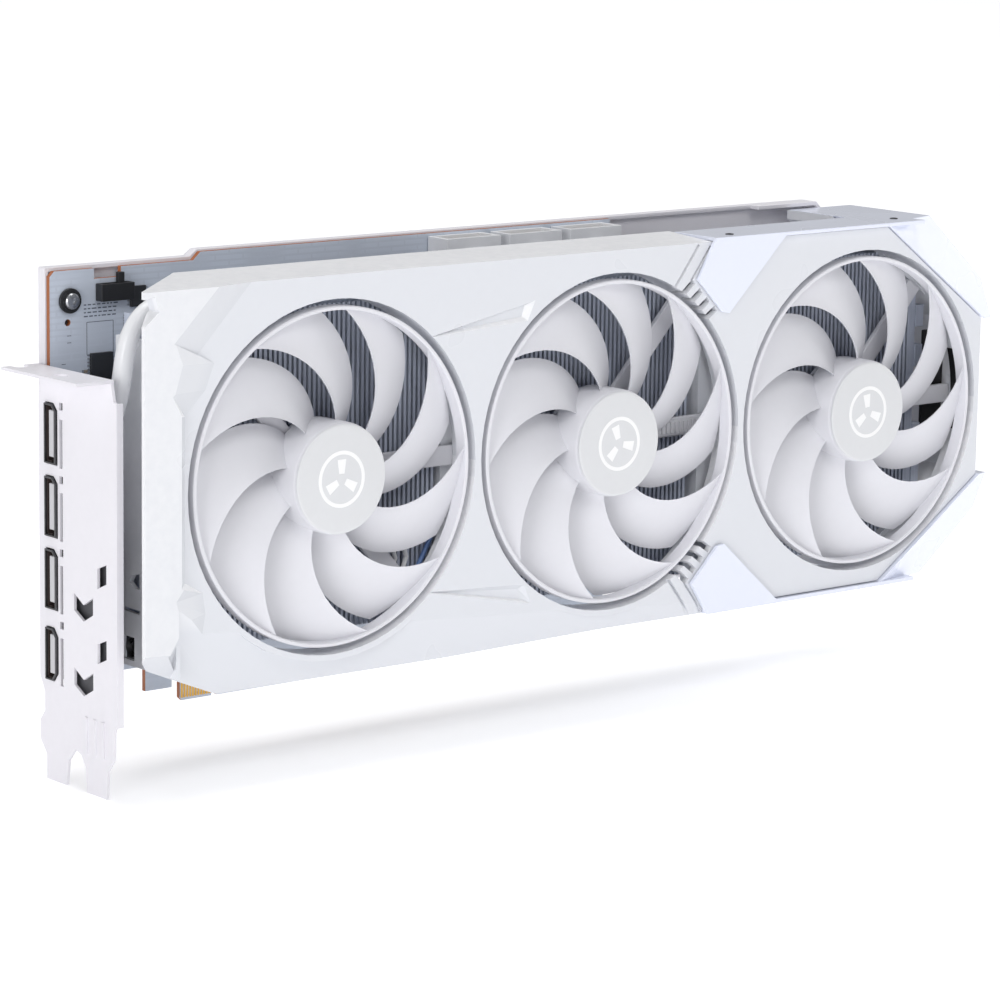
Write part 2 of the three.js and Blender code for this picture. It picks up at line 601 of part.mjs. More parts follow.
// ---- Slot bracket and connectors ----
// Port outlines are in Y and Z about the port's centre.
const DISPLAY_PORT = [[-2.8, -8.6], [2.8, -8.6], [2.8, 8.6], [-1, 8.6], [-2.8, 6.8]];
const HDMI_PORT = [[-2.8, -5.2], [-0.9, -7.6], [2.8, -7.6], [2.8, 7.6], [-0.9, 7.6], [-2.8, 5.2]];
const PORTS = [
  { name: 'displayport_1', outline: DISPLAY_PORT, z: 13.4 },
  { name: 'displayport_2', outline: DISPLAY_PORT, z: -7.6 },
  { name: 'displayport_3', outline: DISPLAY_PORT, z: -28.6 },
  { name: 'hdmi_port', outline: HDMI_PORT, z: -50.4 },
];

// A metal shell open towards the outside, with the contact tongue standing on its back wall.
function port({ outline, z }) {
  const mouth = BRACKET.x - PORT.proud;
  const end = mouth + PORT.depth;
  const place = (extra) => shifted(grown(outline, extra), PORT.y, z);
  const shell = cut(prismX(place(0), mouth, end), prismX(place(-PORT.wall), mouth - 1, end - 1.5));
  const tongue = box([mouth + PORT.tongue_inset, end - 1], [PORT.y - 0.4, PORT.y + 0.7],
    [z - 5.6, z + 5.6]);
  return union(shell, tongue);
}

function bracketOutline() {
  const { front_y, back_y, top, tab_end } = BRACKET;
  return [
    [front_y + 2, top], [front_y + 0.6, 26.3], [front_y, 26], [front_y, -66], [12, -67.5],
    [12.4, -75.5], [15.3, -79.5], [15.8, tab_end], [26, tab_end], [26.4, -80.5], [28.6, -77.2], [31.6, -76],
    [35.2, -80], [36.2, tab_end], [46.2, tab_end], [46.4, -80.2], [back_y, -76.4], [back_y, -70.6],
    [47.2, -67.6], [47.2, -62], [back_y, -57.5], [back_y, 24.6], [48.6, 24.6], [48.6, 29],
    [back_y, 29], [back_y, top],
  ];
}

// Air vents: two slanted windows and two chevrons.
const vents = () => [0, -21.6].flatMap((drop) => [
  shifted([[15.7, -20], [20.2, -21.8], [20.2, -27.6], [15.7, -25.6]], 0, drop),
  shifted([[22.4, -30.6], [27.2, -33.4], [32, -30.6], [32, -35.6], [27.2, -38.2], [22.4, -35.6]],
    0, drop),
]);

// A perforated line beside the ports: a long slit and a short one, once for each port.
function slits() {
  const found = [];
  for (let i = 0; i < 4; i += 1) {
    const z = 17 - 21 * i;
    found.push([[37.5, z - 13], [39, z - 13], [39, z + 1], [37.5, z + 1]]);
    found.push([[37.3, z + 3.6], [39.2, z + 3.6], [39.2, z + 5.8], [37.3, z + 5.8]]);
  }
  return found;
}

// Both screw places of the flange: an open notch at its back edge and a round hole.
function flangeScrewRoom() {
  const { back_y, screw_edge, screw_pitch, screw_r, screw_x } = FLANGE;
  const x = BRACKET.x - screw_x;
  const notchY = back_y - screw_edge;
  const [low, high] = [BRACKET.top - BRACKET.thick - 1, BRACKET.top + 1];
  const circle = (y) => Array.from({ length: 12 }, (_, i) => [
    x + screw_r * Math.cos(i * Math.PI / 6), y + screw_r * Math.sin(i * Math.PI / 6),
  ]);
  return [
    box([x - screw_r, x + screw_r], [notchY, notchY + 5], [low, high]),
    prismZ(circle(notchY), low, high),
    prismZ(circle(notchY - screw_pitch), low, high),
  ];
}

function ioBracket() {
  const { x, thick, front_y, top } = BRACKET;
  const bend = x + thick;
  const plate = prismX(bracketOutline(), x, bend);
  const side = box([x, x + 2.2], [front_y - thick, front_y + 0.01], [-66, 26]);
  const flange = box([x - FLANGE.reach, bend], [FLANGE.front_y, FLANGE.back_y], [top - thick, top]);
  const ribs = [17.4, 21.6, 25.8].map((y) => box([x - 0.4, x + 0.1], [y - 0.7, y + 0.7], [-76, -65.5]));
  const windows = PORTS.map(({ outline, z }) => shifted(grown(outline, GAP), PORT.y, z));
  const holes = [...windows, ...vents(), ...slits()].map((points) => prismX(points, x - 1, bend + 1));
  return cut(union(plate, side, flange, ...ribs), ...holes, ...flangeScrewRoom());
}

// An eight-pole power header: an open box with its cell walls standing on the floor.
function powerSocket(x) {
  const [front, back, low, high] = [36.4, 45.9, 46.4, 60.4];
  const wallTop = high - 5.2;
  const shell = cut(box([x - 10.5, x + 10.5], [front, back], [low, high]),
    box([x - 9.2, x + 9.2], [front + 1, back - 1], [low + 3, high + 1]));
  const middle = (front + back) / 2;
  const walls = [box([x - 9.5, x + 9.5], [middle - 0.3, middle + 0.3], [low + 2, wallTop])];
  for (const offset of [-4.6, 0, 4.6]) {
    walls.push(box([x + offset - 0.3, x + offset + 0.3], [front + 0.5, back - 0.5], [low + 2, wallTop]));
  }
  const latch = box([x - 2.5, x + 2.5], [front - 1.6, front + 0.1], [high - 8, high - 4]);
  return union(shell, latch, ...walls);
}

// ---- Switch ----
const SWITCH = { left: -156.6, right: -145.3, front: 42.6, back: 45.9, low: 49.6, high: 54.6 };

function switchBody() {
  const { left, right, front, back, low, high } = SWITCH;
  return cut(box([left, right], [front, back], [low, high]),
    box([left + 1, right - 1], [front + 0.7, back - 0.6], [low + 1.8, high + 1]));
}

const switchLever = () =>
  box([-150.2, -148.2], [SWITCH.front + 0.9, SWITCH.back - 0.8], [SWITCH.low + 2, 57.6]);

// ---- Assembly ----
function piece(name, solid, look) {
  const mesh = new THREE.Mesh(geometryOf(solid), look);
  mesh.name = name;
  return mesh;
}

function coverPieces() {
  return [
    piece('shroud', shroud(), whitePlastic),
    piece('accent_upper', accent(1), accentPlastic),
    piece('accent_lower', accent(-1), accentPlastic),
    piece('backplate', backplate(), whiteMetal),
    piece('io_bracket', ioBracket(), whiteMetal),
  ];
}

function boardPieces() {
  return [
    piece('circuit_board', circuitBoard(), boardBlue),
    piece('gpu_package', gpuPackage(), boardBlue),
    piece('gpu_die', gpuDie(), silicon),
    ...MEMORY.map((place, i) => piece(`memory_chip_${i + 1}`, memoryChip(place), blackPlastic)),
    ...PORTS.map((each) => piece(each.name, port(each), steel)),
    ...[-25.4, -1, 23.4].map((x, i) => piece(`power_socket_${i + 1}`, powerSocket(x), whitePlastic)),
    piece('bios_switch_body', switchBody(), blackPlastic),
    piece('bios_switch_lever', switchLever(), blackPlastic),
    piece('board_screw', boardScrew(), steel),
    piece('retention_bracket', retentionBracket(), steel),
    ...RETENTION.map((place, i) => piece(`retention_screw_${i + 1}`, retentionScrew(place), steel)),
  ];
}

function coolerPieces() {
  return [
    ...STACKS.map((span, i) => piece(`fin_stack_${i + 1}`, finStack(span), finMetal)),
    piece('heatpipe_1', bentPipe(), whiteMetal),
    ...[-9, 27, -27].map((z, i) => piece(`heatpipe_${i + 2}`, straightPipe(z), whiteMetal)),
    piece('cold_plate', coldPlate(), copper),
  ];
}

// One fan with its motor, about the fan's own axis.
function fanPieces(number) {
  const fan = new THREE.Group();
  fan.position.x = fanX(number);
  fan.add(
    piece(`fan_${number}_rotor`, rotor(number), fanPlastic),
    piece(`fan_${number}_badge`, badge(), badgePlastic),
    piece(`fan_${number}_magnet`, magnet(), magnetBlack),
    piece(`fan_${number}_shaft`, shaft(), steel),
    piece(`fan_${number}_bearing`, bearing(), bronze),
    piece(`fan_${number}_stator`, stator(), copper),
    piece(`fan_${number}_frame`, fanFrame(number), fanPlastic),
  );
  return fan;
}

const card = new THREE.Group();
card.add(...coverPieces(), ...boardPieces(), ...coolerPieces(), ...FANS.map(fanPieces));
const flangeMiddle = FLANGE.back_y - FLANGE.screw_edge - FLANGE.screw_pitch / 2;
card.position.set(FLANGE.screw_x - BRACKET.x, -flangeMiddle, BRACKET.thick - BRACKET.top);

const group = new THREE.Group();
group.add(card);
group.updateMatrixWorld(true);

export default group;
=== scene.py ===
"""Looks of a three-fan graphics card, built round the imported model. +X runs from bracket to tail,
-Y is the way the fans face and +Z is up. All lengths are metres; MM turns millimetres into them."""
import math
import random

import bmesh
import bpy
from mathutils import Matrix, Vector


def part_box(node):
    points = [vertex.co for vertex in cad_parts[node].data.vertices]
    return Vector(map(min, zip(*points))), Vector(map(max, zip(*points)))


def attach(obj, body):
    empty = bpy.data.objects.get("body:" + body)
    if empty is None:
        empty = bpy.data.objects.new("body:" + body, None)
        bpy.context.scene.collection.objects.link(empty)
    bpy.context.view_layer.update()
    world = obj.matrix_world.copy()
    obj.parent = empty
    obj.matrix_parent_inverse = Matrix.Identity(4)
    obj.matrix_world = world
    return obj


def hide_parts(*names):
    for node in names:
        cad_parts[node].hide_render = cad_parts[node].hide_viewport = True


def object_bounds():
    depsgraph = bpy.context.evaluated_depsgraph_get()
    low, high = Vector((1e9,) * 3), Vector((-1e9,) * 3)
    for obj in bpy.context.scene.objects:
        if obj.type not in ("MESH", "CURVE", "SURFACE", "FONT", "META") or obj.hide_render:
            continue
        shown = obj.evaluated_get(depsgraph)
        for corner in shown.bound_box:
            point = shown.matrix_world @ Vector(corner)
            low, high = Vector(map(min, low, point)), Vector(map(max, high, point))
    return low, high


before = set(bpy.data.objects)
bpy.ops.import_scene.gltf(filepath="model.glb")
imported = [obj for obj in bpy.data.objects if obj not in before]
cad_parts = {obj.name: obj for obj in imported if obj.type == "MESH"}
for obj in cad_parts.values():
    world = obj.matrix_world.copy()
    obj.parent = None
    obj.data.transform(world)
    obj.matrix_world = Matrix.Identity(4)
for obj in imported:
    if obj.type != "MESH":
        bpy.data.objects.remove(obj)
cad_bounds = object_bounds()
MM = 0.001
FANS = (1, 2, 3)


# ---- Places, from the boxes of the imported parts ----
def low(node):
    """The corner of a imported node's box with the smallest X, Y and Z."""
    return Vector(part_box(node)[0])


def high(node):
    """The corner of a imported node's box with the largest X, Y and Z."""
    return Vector(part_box(node)[1])


def middle(node):
    return (low(node) + high(node)) / 2


HUB_STANDS_OUT = 2 * MM
FACE_Y = low("fan_2_rotor").y + HUB_STANDS_OUT
RING_R = (high("fan_2_rotor").x - low("fan_2_rotor").x) / 2
BOARD_FRONT = low("circuit_board").y
BOARD_BACK = high("circuit_board").y


def fan_centre(number):
    """The middle of a fan, in the plane of the cover's front face."""
    badge = middle(f"fan_{number}_badge")
    return Vector((badge.x, FACE_Y, badge.z))


# ---- Materials ----
def paint(red, green, blue):
    """A display colour from 0 to 255 as the linear colour that a shader takes."""
    channels = [c / 255 for c in (red, green, blue)]
    linear = [c / 12.92 if c <= 0.04045 else ((c + 0.055) / 1.055) ** 2.4 for c in channels]
    return (*linear, 1.0)


def darker(color, share):
    """A colour with a share of its light taken away."""
    return (*[c * (1 - share) for c in color[:3]], 1.0)


class Surface:
    """A Principled material with procedural variation in colour, roughness and relief."""

    def __init__(self, name, color, roughness, metallic=0.0, **sockets):
        self.material = bpy.data.materials.new(name)
        self.material.use_nodes = True
        self.tree = self.material.node_tree
        self.shader = self.tree.nodes["Principled BSDF"]
        self.color = color
        self.roughness = roughness
        self.shader.inputs["Base Color"].default_value = color
        self.shader.inputs["Roughness"].default_value = roughness
        self.shader.inputs["Metallic"].default_value = metallic
        for socket, value in sockets.items():
            self.shader.inputs[socket.replace("_", " ")].default_value = value
        self.place = self.add("ShaderNodeTexCoord").outputs["Object"]

    def add(self, kind, inputs=None, **settings):
        """Adds a shader node; an input is a value or the output of another node."""
        made = self.tree.nodes.new(kind)
        for name, value in settings.items():
            setattr(made, name, value)
        for name, value in (inputs or {}).items():
            if isinstance(value, bpy.types.NodeSocket):
                self.tree.links.new(value, made.inputs[name])
            else:
                made.inputs[name].default_value = value
        return made

    def noise(self, scale, detail=2.0, stretch=(1, 1, 1)):
        """Noise through the piece; a small stretch along an axis draws it out into lines."""
        mapping = self.add("ShaderNodeMapping", {"Vector": self.place, "Scale": stretch})
        return self.add("ShaderNodeTexNoise", {
            "Vector": mapping.outputs[0], "Scale": scale, "Detail": detail}).outputs[0]

    def ranged(self, value, start, end):
        """Value from 0.3 to 0.7 spread from start to end."""
        return self.add("ShaderNodeMapRange", {
            "Value": value, "From Min": 0.3, "From Max": 0.7, "To Min": start, "To Max": end,
        }).outputs[0]

    def mixed(self, factor, first, second):
        return self.add("ShaderNodeMix", {0: factor, 6: first, 7: second},
                        data_type="RGBA").outputs[2]

    def tinted(self, factor, other):
        """Blends the colour towards another by a factor."""
        self.color = self.mixed(factor, self.color, other)
        self.tree.links.new(self.color, self.shader.inputs["Base Color"])
        return self

    def uneven(self, scale, spread):
        """Roughness that wanders by spread over patches of the given scale."""
        value = self.ranged(self.noise(scale), self.roughness - spread, self.roughness + spread)
        self.tree.links.new(value, self.shader.inputs["Roughness"])
        return self

    def relief(self, height, depth, strength=0.4):
        """Raises and sinks the surface by depth, following a height."""
        bump = self.add("ShaderNodeBump", {
            "Height": height, "Strength": strength, "Distance": depth})
        self.tree.links.new(bump.outputs[0], self.shader.inputs["Normal"])
        return self


# The scales of the noise in a surface, in features per metre, and how deep its grain is.
BROAD_SHADE = 14
FINE_SPECKS = 420
GLOSS_PATCHES = 30
MOULD_GRAIN = 2200
GRAIN_DEPTH = 0.02 * MM


def moulded(name, color, roughness, grain=MOULD_GRAIN, depth=GRAIN_DEPTH, shade=0.03, **sockets):
    """Moulded plastic: fine spark-eroded grain, broad shade and a little wear in the gloss."""
    surface = Surface(name, color, roughness, **sockets)
    surface.tinted(surface.ranged(surface.noise(BROAD_SHADE), 0, 1), darker(color, shade))
    specks = surface.ranged(surface.noise(FINE_SPECKS, 4), 0, 0.35)
    surface.tinted(specks, darker(color, 2 * shade))
    surface.uneven(GLOSS_PATCHES, 0.03)
    surface.relief(surface.noise(grain, 4), depth)
    return surface.material


def faceted(name, body_color, strip_color, painted_highlight_color, roughness):
    """The cover's satin plastic: whiter on the raised strip, with painted highlight on facets that
    look up and painted shade on facets that lean to the tail or down, with moulding grain all over."""
    surface = Surface(name, body_color, roughness, Coat_Weight=0.2, Coat_Roughness=0.2)
    depth = surface.add("ShaderNodeSeparateXYZ", {0: surface.place}).outputs["Y"]
    strip_starts, strip_ends = FACE_Y - 0.2 * MM, FACE_Y - 1 * MM
    raised = surface.add("ShaderNodeMapRange", {
        "Value": depth, "From Min": strip_starts, "From Max": strip_ends}).outputs[0]
    surface.tinted(raised, strip_color)
    normal = surface.add("ShaderNodeNewGeometry").outputs["True Normal"]

    def leaning(direction, start, end):
        along = surface.add("ShaderNodeVectorMath", {0: normal, 1: direction},
                            operation="DOT_PRODUCT").outputs["Value"]
        return surface.add("ShaderNodeMapRange", {
            "Value": along, "From Min": start, "From Max": end}).outputs[0]

    # Painted shade on faces that lean to the tail or down, and painted highlight on faces that look
    # up, set by which way each face points.
    painted_shade_lean = (0.9, 0, -0.45)
    painted_highlight_lean = (-0.1, 0, 1)
    surface.tinted(leaning(painted_shade_lean, 0.03, 0.3), darker(body_color, 0.12))
    surface.tinted(leaning(painted_highlight_lean, 0.04, 0.2), painted_highlight_color)
    specks = surface.ranged(surface.noise(FINE_SPECKS, 4), 0, 0.3)
    surface.tinted(specks, darker(body_color, 0.03))
    surface.uneven(GLOSS_PATCHES, 0.03)
    surface.relief(surface.noise(MOULD_GRAIN, 4), GRAIN_DEPTH)
    return surface.material


def sheet_metal(name, color, roughness, metallic, stretch, grain=900, depth=0.01 * MM):
    """Metal with rolling or brushing lines along one direction."""
    surface = Surface(name, color, roughness, metallic)
    lines = surface.noise(grain, 3, stretch)
    surface.tinted(surface.ranged(lines, 0, 1), darker(color, 0.16))
    surface.uneven(60, 0.06)
    surface.relief(lines, depth, 0.3)
    return surface.material


def solder_mask(name, color):
    """Board lacquer with the relief of hidden copper tracks under it."""
    surface = Surface(name, color, 0.38)
    turn = surface.add("ShaderNodeMapping", {
        "Vector": surface.place, "Rotation": (math.pi / 2, 0, 0)})
    tracks = surface.add("ShaderNodeTexBrick", {
        "Vector": turn.outputs[0], "Scale": 90.0, "Mortar Size": 0.03, "Brick Width": 0.9,
        "Row Height": 0.16}).outputs["Fac"]
    patches = surface.add("ShaderNodeTexVoronoi", {
        "Vector": surface.place, "Scale": 60.0}, distance="CHEBYCHEV").outputs["Distance"]
    surface.tinted(surface.ranged(patches, 0, 1), darker(color, 0.12))
    surface.tinted(tracks, darker(color, 0.07))
    surface.uneven(50, 0.05)
    surface.relief(tracks, 0.03 * MM)
    return surface.material


white_plastic = moulded("white_plastic", paint(236, 237, 240), 0.3, shade=0.012,
                        Coat_Weight=0.25, Coat_Roughness=0.18)
accent_plastic = moulded("accent_plastic", paint(234, 238, 252), 0.28, shade=0.02,
                         Coat_Weight=0.5, Coat_Roughness=0.1)
# The third colour is the painted highlight on the cover's upward facets.
cover_plastic = faceted("cover_plastic", paint(223, 225, 230), paint(234, 235, 238),
                        paint(250, 250, 252), 0.3)
fan_plastic = moulded("fan_plastic", paint(228, 228, 233), 0.42, grain=2600, shade=0.02)
badge_plastic = moulded("badge_film", paint(222, 223, 225), 0.34, grain=600)
print_white = moulded("print_white", paint(250, 250, 250), 0.4)
white_metal = moulded("white_powder_coat", paint(236, 234, 239), 0.42, grain=1500,
                      depth=0.04 * MM)
pipe_coat = moulded("pipe_coat", paint(240, 241, 243), 0.3, grain=1300, Coat_Weight=0.3)
fin_metal = sheet_metal("fin_metal", paint(206, 213, 228), 0.42, 0.2, (1, 1, 0.03))
copper = sheet_metal("copper", paint(200, 130, 95), 0.3, 1.0, (0.05, 1, 1))
bronze = sheet_metal("bronze", paint(176, 142, 92), 0.4, 1.0, (1, 1, 1))
steel = sheet_metal("steel", paint(188, 190, 194), 0.3, 1.0, (1, 1, 0.1))
dark_steel = sheet_metal("dark_steel", paint(92, 92, 94), 0.36, 0.9, (1, 1, 1))
gold = sheet_metal("gold", paint(214, 168, 84), 0.26, 1.0, (1, 1, 0.05))
board_mask = solder_mask("solder_mask", paint(206, 214, 227))
board_edge = moulded("board_edge", paint(176, 106, 66), 0.6, grain=900, shade=0.2)
black_plastic = moulded("black_plastic", paint(34, 35, 38), 0.45, shade=0.2)
chip_black = moulded("chip_black", paint(44, 46, 50), 0.5, grain=1800, shade=0.12)
ceramic = moulded("ceramic", paint(150, 138, 122), 0.5, shade=0.15)
silk_ink = moulded("silk_ink", paint(88, 96, 112), 0.6)
magnet_black = moulded("magnet_black", paint(40, 41, 43), 0.6, shade=0.2)
silicon = moulded("silicon", paint(70, 78, 88), 0.15, shade=0.1)
liner_black = moulded("liner_black", paint(22, 22, 24), 0.5, shade=0.2)
liner_brown = moulded("liner_brown", paint(74, 62, 60), 0.5, shade=0.2)
screen_grey = moulded("screen_grey", paint(96, 96, 100), 0.6, grain=600, shade=0.25)
tongue_grey = moulded("tongue_grey", paint(206, 205, 208), 0.4)
wire_white = moulded("wire_white", paint(226, 226, 230), 0.4)
wire_blue = moulded("wire_blue", paint(120, 150, 205), 0.4, shade=0.1)


# ---- Mesh tools ----
# Edges sharper than these angles in degrees are rounded or kept crisp.
ROUNDED_ABOVE = 32
FACET_CREASE = 7
# Points closer than these distances become one.
SAME_PLACE = 2e-6
SAME_POINT = 1e-7


class Shape:
    """Collects closed skins and boxes, then builds them as one object."""

    def __init__(self):
        self.points = []
        self.faces = []

    def skin(self, rings, caps=True):
        """Joins rings of the same length, each to the next, with a cap on both ends."""
        first = len(self.points)
        count = len(rings[0])
        for ring in rings:
            self.points.extend(Vector(p) for p in ring)
        for i in range(len(rings) - 1):
            for j in range(count):
                a, b = first + i * count + j, first + i * count + (j + 1) % count
                self.faces.append((a, b, b + count, a + count))
        if caps:
            last = first + (len(rings) - 1) * count
            self.faces.append(tuple(reversed(range(first, first + count))))
            self.faces.append(tuple(range(last, last + count)))
        return self

    def loop(self, rings):
        """Joins rings into a skin that closes on itself, without caps."""
        return self.skin([*rings, rings[0]], caps=False)

    def box(self, start, end):
        """A box between two opposite corners."""
        (x0, y0, z0), (x1, y1, z1) = start, end
        return self.skin([[(x0, y, z0), (x1, y, z0), (x1, y, z1), (x0, y, z1)] for y in (y0, y1)])

    def around(self, centre, half):
        """A box of given half sizes about a centre."""
        centre, half = Vector(centre), Vector(half)
        return self.box(centre - half, centre + half)

    def prism(self, outline, y0, y1):
        """Outline of X and Z places, filled between two depths."""
        return self.skin([[(x, y, z) for x, z in outline] for y in (y0, y1)])

    def build(self, name, material, body="card", bevel=0.0, smooth=True, replaces=()):
        """Makes the object, with every face turned outward."""
        mesh = bpy.data.meshes.new(name)
        mesh.from_pydata([tuple(p) for p in self.points], [], self.faces)
        tidy = bmesh.new()
        tidy.from_mesh(mesh)
        bmesh.ops.remove_doubles(tidy, verts=tidy.verts, dist=SAME_POINT)
        bmesh.ops.recalc_face_normals(tidy, faces=tidy.faces)
        tidy.to_mesh(mesh)
        tidy.free()
        return finished(name, mesh, [material], body, bevel, smooth, replaces)


def finished(name, mesh, materials, body, bevel=0.0, smooth=True, replaces=(),
             crease=ROUNDED_ABOVE):
    """Turns a mesh into a piece that rides on a body, with rounded and evenly lit edges. Faces
    that meet at more than crease degrees keep a sharp edge between them."""
    piece = bpy.data.objects.new(name, mesh)
    bpy.context.collection.objects.link(piece)
    slots = [face.material_index for face in mesh.polygons]
    mesh.materials.clear()
    for each in materials:
        mesh.materials.append(each)
    mesh.polygons.foreach_set("material_index", slots)
    if smooth:
        mesh.shade_smooth()
        mesh.set_sharp_from_angle(angle=math.radians(crease))
    if bevel:
        rounding = piece.modifiers.new("rounding", "BEVEL")
        rounding.width = bevel
        rounding.segments = 2
        rounding.limit_method = "ANGLE"
        rounding.angle_limit = math.radians(ROUNDED_ABOVE)
        rounding.harden_normals = True
    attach(piece, body)
    if replaces:
        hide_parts(*replaces)
    return piece


def softened(node, material, bevel, body="card", second=None, crease=ROUNDED_ABOVE):
    """A copy of a CAD node with clean flat faces and rounded edges. Faces that don't look along
    Y take the second material where one is given."""
    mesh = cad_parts[node].data.copy()
    tidy = bmesh.new()
    tidy.from_mesh(mesh)
    bmesh.ops.remove_doubles(tidy, verts=tidy.verts, dist=SAME_PLACE)
    bmesh.ops.dissolve_limit(tidy, verts=tidy.verts, edges=tidy.edges, angle_limit=math.radians(1))
    for face in tidy.faces:
        is_edge = abs(face.normal.y) < 0.9
        face.material_index = 1 if second and is_edge else 0
    tidy.to_mesh(mesh)
    tidy.free()
    materials = [material, second] if second else [material]
    return finished(f"{node}_look", mesh, materials, body, bevel, replaces=(node,), crease=crease)


def circle(centre, radius, y, count=48, turn=0.0):
    """Points round an axis along Y; the radius may be a function of the angle."""
    angles = [turn + 2 * math.pi * i / count for i in range(count)]
    reach = radius if callable(radius) else lambda angle: radius
    return [(centre[0] + reach(a) * math.cos(a), y, centre[2] + reach(a) * math.sin(a))
            for a in angles]


def dressed(node, material):
    """Gives a CAD node that keeps its own shape a material."""
    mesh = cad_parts[node].data
    mesh.materials.clear()
    mesh.materials.append(material)


# ---- Covers ----
MOULDED_EDGE = 0.3 * MM
SHEET_EDGE = 0.2 * MM


def covers():
    softened("shroud", cover_plastic, MOULDED_EDGE, crease=FACET_CREASE)
    softened("accent_upper", accent_plastic, MOULDED_EDGE, crease=FACET_CREASE)
    softened("accent_lower", accent_plastic, MOULDED_EDGE, crease=FACET_CREASE)
    softened("backplate", white_metal, MOULDED_EDGE)
    softened("io_bracket", white_metal, SHEET_EDGE)
    softened("circuit_board", board_mask, 0, second=board_edge)
    softened("retention_bracket", steel, SHEET_EDGE)


# ---- Fans ----
BLADES = 9
BLADE_STEPS = 12
HUB_R = 16.4 * MM
TURNED = {1: 0, 2: 18, 3: 7}
# Angles are in degrees: span is a blade's width, sweep its lean from root to tip and start the
# place of the first one.
BLADE = {
    "span": 33.5, "sweep": 41, "start": 84.8, "thick": 1.0 * MM, "root": HUB_R - 0.9 * MM,
    "tip": RING_R - 0.8 * MM,
}


def blade_ring(share, turn):
    """The section of a blade at a share of the way out: front from lead to tail, then back."""
    radius = BLADE["root"] + (BLADE["tip"] - BLADE["root"]) * share
    front = (0.5 + 0.9 * (1 - share)) * MM
    depth = (8 - 1.4 * share) * MM
    places = []
    for i in range(BLADE_STEPS + 1):
        across = i / BLADE_STEPS
        swept = turn + BLADE["sweep"] * share ** 1.25 - BLADE["span"] * across
        half = BLADE["thick"] / 2 * (0.25 + 0.75 * math.sin(math.pi * (0.08 + 0.84 * across)))
        places.append((math.radians(swept), front + depth * across ** 0.8 + 0.5 * MM, half))
    ring = [(a, y - half) for a, y, half in places]
    ring += [(a, y + half) for a, y, half in reversed(places)]
    return [(radius * math.cos(a), y, radius * math.sin(a)) for a, y in ring]


def placed(ring, centre):
    return [Vector(point) + centre for point in ring]


def rotor(number):
    """Swept blades between an outer ring and a hub with a shallow dish in its front."""
    centre = fan_centre(number)
    shape = Shape()
    for i in range(BLADES):
        turn = BLADE["start"] + TURNED[number] + 360 / BLADES * i
        shape.skin([placed(blade_ring(k / BLADE_STEPS, turn), centre)
                    for k in range(BLADE_STEPS + 1)])
    rim_inner = RING_R - 1.2 * MM
    rim = [(rim_inner, 0.6), (RING_R - 0.9 * MM, 0.3), (RING_R - 0.3 * MM, 0.3), (RING_R, 0.6),
           (RING_R, 4.6), (RING_R - 0.2 * MM, 4.8), (rim_inner, 4.8)]
    shape.loop([circle(centre, r, FACE_Y + y * MM, 120) for r, y in rim])
    hub_back = high("fan_2_rotor").y - FACE_Y - 0.2 * MM
    hub_inner = HUB_R - 1.4 * MM
    hub = [(HUB_R - 1.3 * MM, hub_back), (HUB_R - 0.2 * MM, hub_back), (HUB_R, hub_back - 0.2 * MM),
           (HUB_R, -0.9 * MM), (HUB_R - 0.3 * MM, -1.6 * MM), (HUB_R - 0.9 * MM, -HUB_STANDS_OUT),
           (hub_inner, -HUB_STANDS_OUT), (hub_inner, -0.5 * MM)]
    shape.loop([circle(centre, r, FACE_Y + y, 96) for r, y in hub])
    shape.skin([circle(centre, HUB_R - 1.35 * MM, FACE_Y + y * MM, 96) for y in (-1.95, -0.45)])
    shape.build(f"fan_{number}_rotor_look", fan_plastic, f"fan_{number}",
                replaces=(f"fan_{number}_rotor",))


def badge(number):
    """A round film on the hub with a generic printed mark: a ring and three short bars."""
    centre = fan_centre(number)
    node = f"fan_{number}_badge"
    front, back = low(node).y, high(node).y
    radius = (high(node).x - low(node).x) / 2
    profile = [(radius - 0.5 * MM, back), (radius, back - 0.15 * MM), (radius, front + 0.35 * MM),
               (radius - 0.3 * MM, front + 0.12 * MM), (radius - 0.8 * MM, front + 0.06 * MM)]
    Shape().skin([circle(centre, r, y, 96) for r, y in profile]).build(
        f"{node}_look", badge_plastic, f"fan_{number}", replaces=(node,))
    mark = Shape()
    print_back, print_front = front + 0.07 * MM, front + 0.01 * MM
    outer, inner = radius * 0.52, radius * 0.45
    mark.loop([circle(centre, r, y, 72) for r, y in (
        (inner, print_back), (outer, print_back), (outer, print_front), (inner, print_front))])
    for i in range(3):
        lean = math.radians(90 + 120 * i + TURNED[number])
        along = Vector((math.cos(lean), 0, math.sin(lean)))
        side = Vector((-along.z, 0, along.x)) * radius * 0.06
        ends = [centre + along * radius * 0.1, centre + along * radius * 0.36]
        outline = [ends[0] - side, ends[1] - side * 1.6, ends[1] + side * 1.6, ends[0] + side]
        mark.prism([(p.x, p.z) for p in outline], print_front, print_back)
    mark.build(f"fan_{number}_mark", print_white, f"fan_{number}")


def fan_motors():
    for number in FANS:
        rotor(number)
        badge(number)
        softened(f"fan_{number}_frame", fan_plastic, 0.3 * MM)
        dressed(f"fan_{number}_magnet", magnet_black)
        dressed(f"fan_{number}_shaft", steel)
        dressed(f"fan_{number}_bearing", bronze)
        dressed(f"fan_{number}_stator", copper)


# ---- Cooler ----
FIN_PITCH = 1.75 * MM
FIN_THICK = 0.4 * MM
FIN_LIP = 0.95 * MM
TAIL_CUT = {"along": 14 * MM, "down": 10.5 * MM}


def tail_reach(x, end_x, half):
    """How far a fin reaches from the axis at X, where the tail's corners are cut off."""
    start_x = end_x - TAIL_CUT["along"]
    if x <= start_x:
        return half
    return half - TAIL_CUT["down"] * (x - start_x) / (end_x - start_x)


